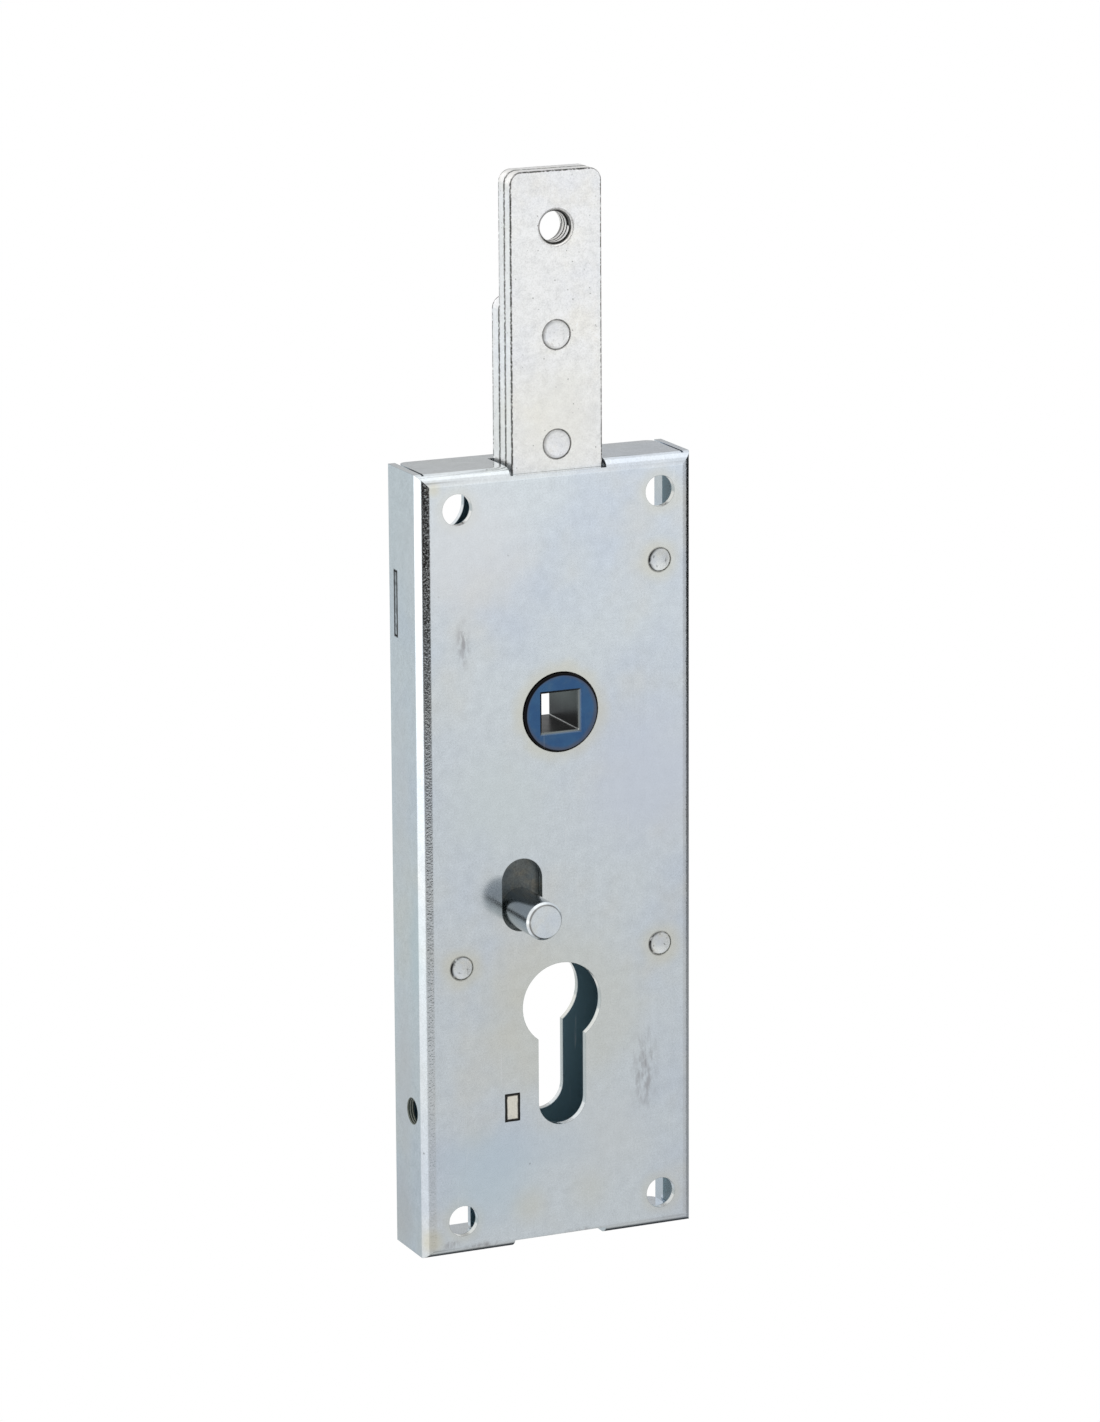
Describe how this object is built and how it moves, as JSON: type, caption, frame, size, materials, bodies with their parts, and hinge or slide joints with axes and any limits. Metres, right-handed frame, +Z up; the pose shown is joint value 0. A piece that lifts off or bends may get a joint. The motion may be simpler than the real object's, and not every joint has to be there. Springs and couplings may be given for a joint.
{
  "type": "garage door lock",
  "caption": "Folded steel garage door lock with a square spindle hub, a sliding bolt bar, a locking pin and a profile cylinder cut-out.",
  "frame": {"origin": "middle of the four fixing holes, on the outer face of the front plate", "axes": "+Z up along the bolt, +X to the right seen from the front, +Y from the front plate backwards"},
  "size_m": [0.061, 0.0275, 0.2246],
  "materials": {
    "case_sheet": "satin",
    "bolt_steel": "satin",
    "rivet_steel": "satin",
    "hub_blue": "satin",
    "lever_steel": "satin",
    "pin_steel": "satin",
    "spring_steel": "satin"
  },
  "bodies": {
    "case": {"case_shell": "case_sheet", "rear_cover": "case_sheet", "cylinder_screw_bracket": "rivet_steel", "slide_guide_stud": "rivet_steel", "spacer_post_upper_right": "rivet_steel", "spacer_post_lower_right": "rivet_steel", "spacer_post_lower_left": "rivet_steel", "return_spring_seat": "lever_steel", "return_spring_rod": "pin_steel", "return_spring": "spring_steel", "lever_spring_seat": "lever_steel", "lever_spring_rod": "pin_steel", "lever_spring": "spring_steel"},
    "bolt": {"bolt_slide": "bolt_steel", "bolt_plate_front": "bolt_steel", "bolt_plate_rear": "bolt_steel", "bolt_rivet_upper": "rivet_steel", "bolt_rivet_lower": "rivet_steel"},
    "lever": {"lock_lever": "lever_steel", "lock_pin": "pin_steel"},
    "hub": {"spindle_hub": "hub_blue"}
  },
  "joints": [
    {"name": "hub_turn", "type": "hinge", "parent": "case", "child": "hub", "pos_m": [0, 0, 0.031], "axis": [0, 1, 0], "range_deg": [0, 70]},
    {"name": "bolt_travel", "type": "slide", "parent": "case", "child": "bolt", "axis": [0, 0, -1], "range_m": [0, 0.01606], "stiffness_N_per_m": 150, "springref_m": -0.02, "deforming": ["return_spring"]},
    {"name": "lever_lift", "type": "slide", "parent": "case", "child": "lever", "axis": [0, 0, 1], "range_m": [0, 0.006], "stiffness_N_per_m": 150, "springref_m": -0.01, "deforming": ["lever_spring"]}
  ],
  "couplings": [
    {"joint": "hub_turn", "follows": "bolt_travel", "rad_per_m": 76.072}
  ]
}
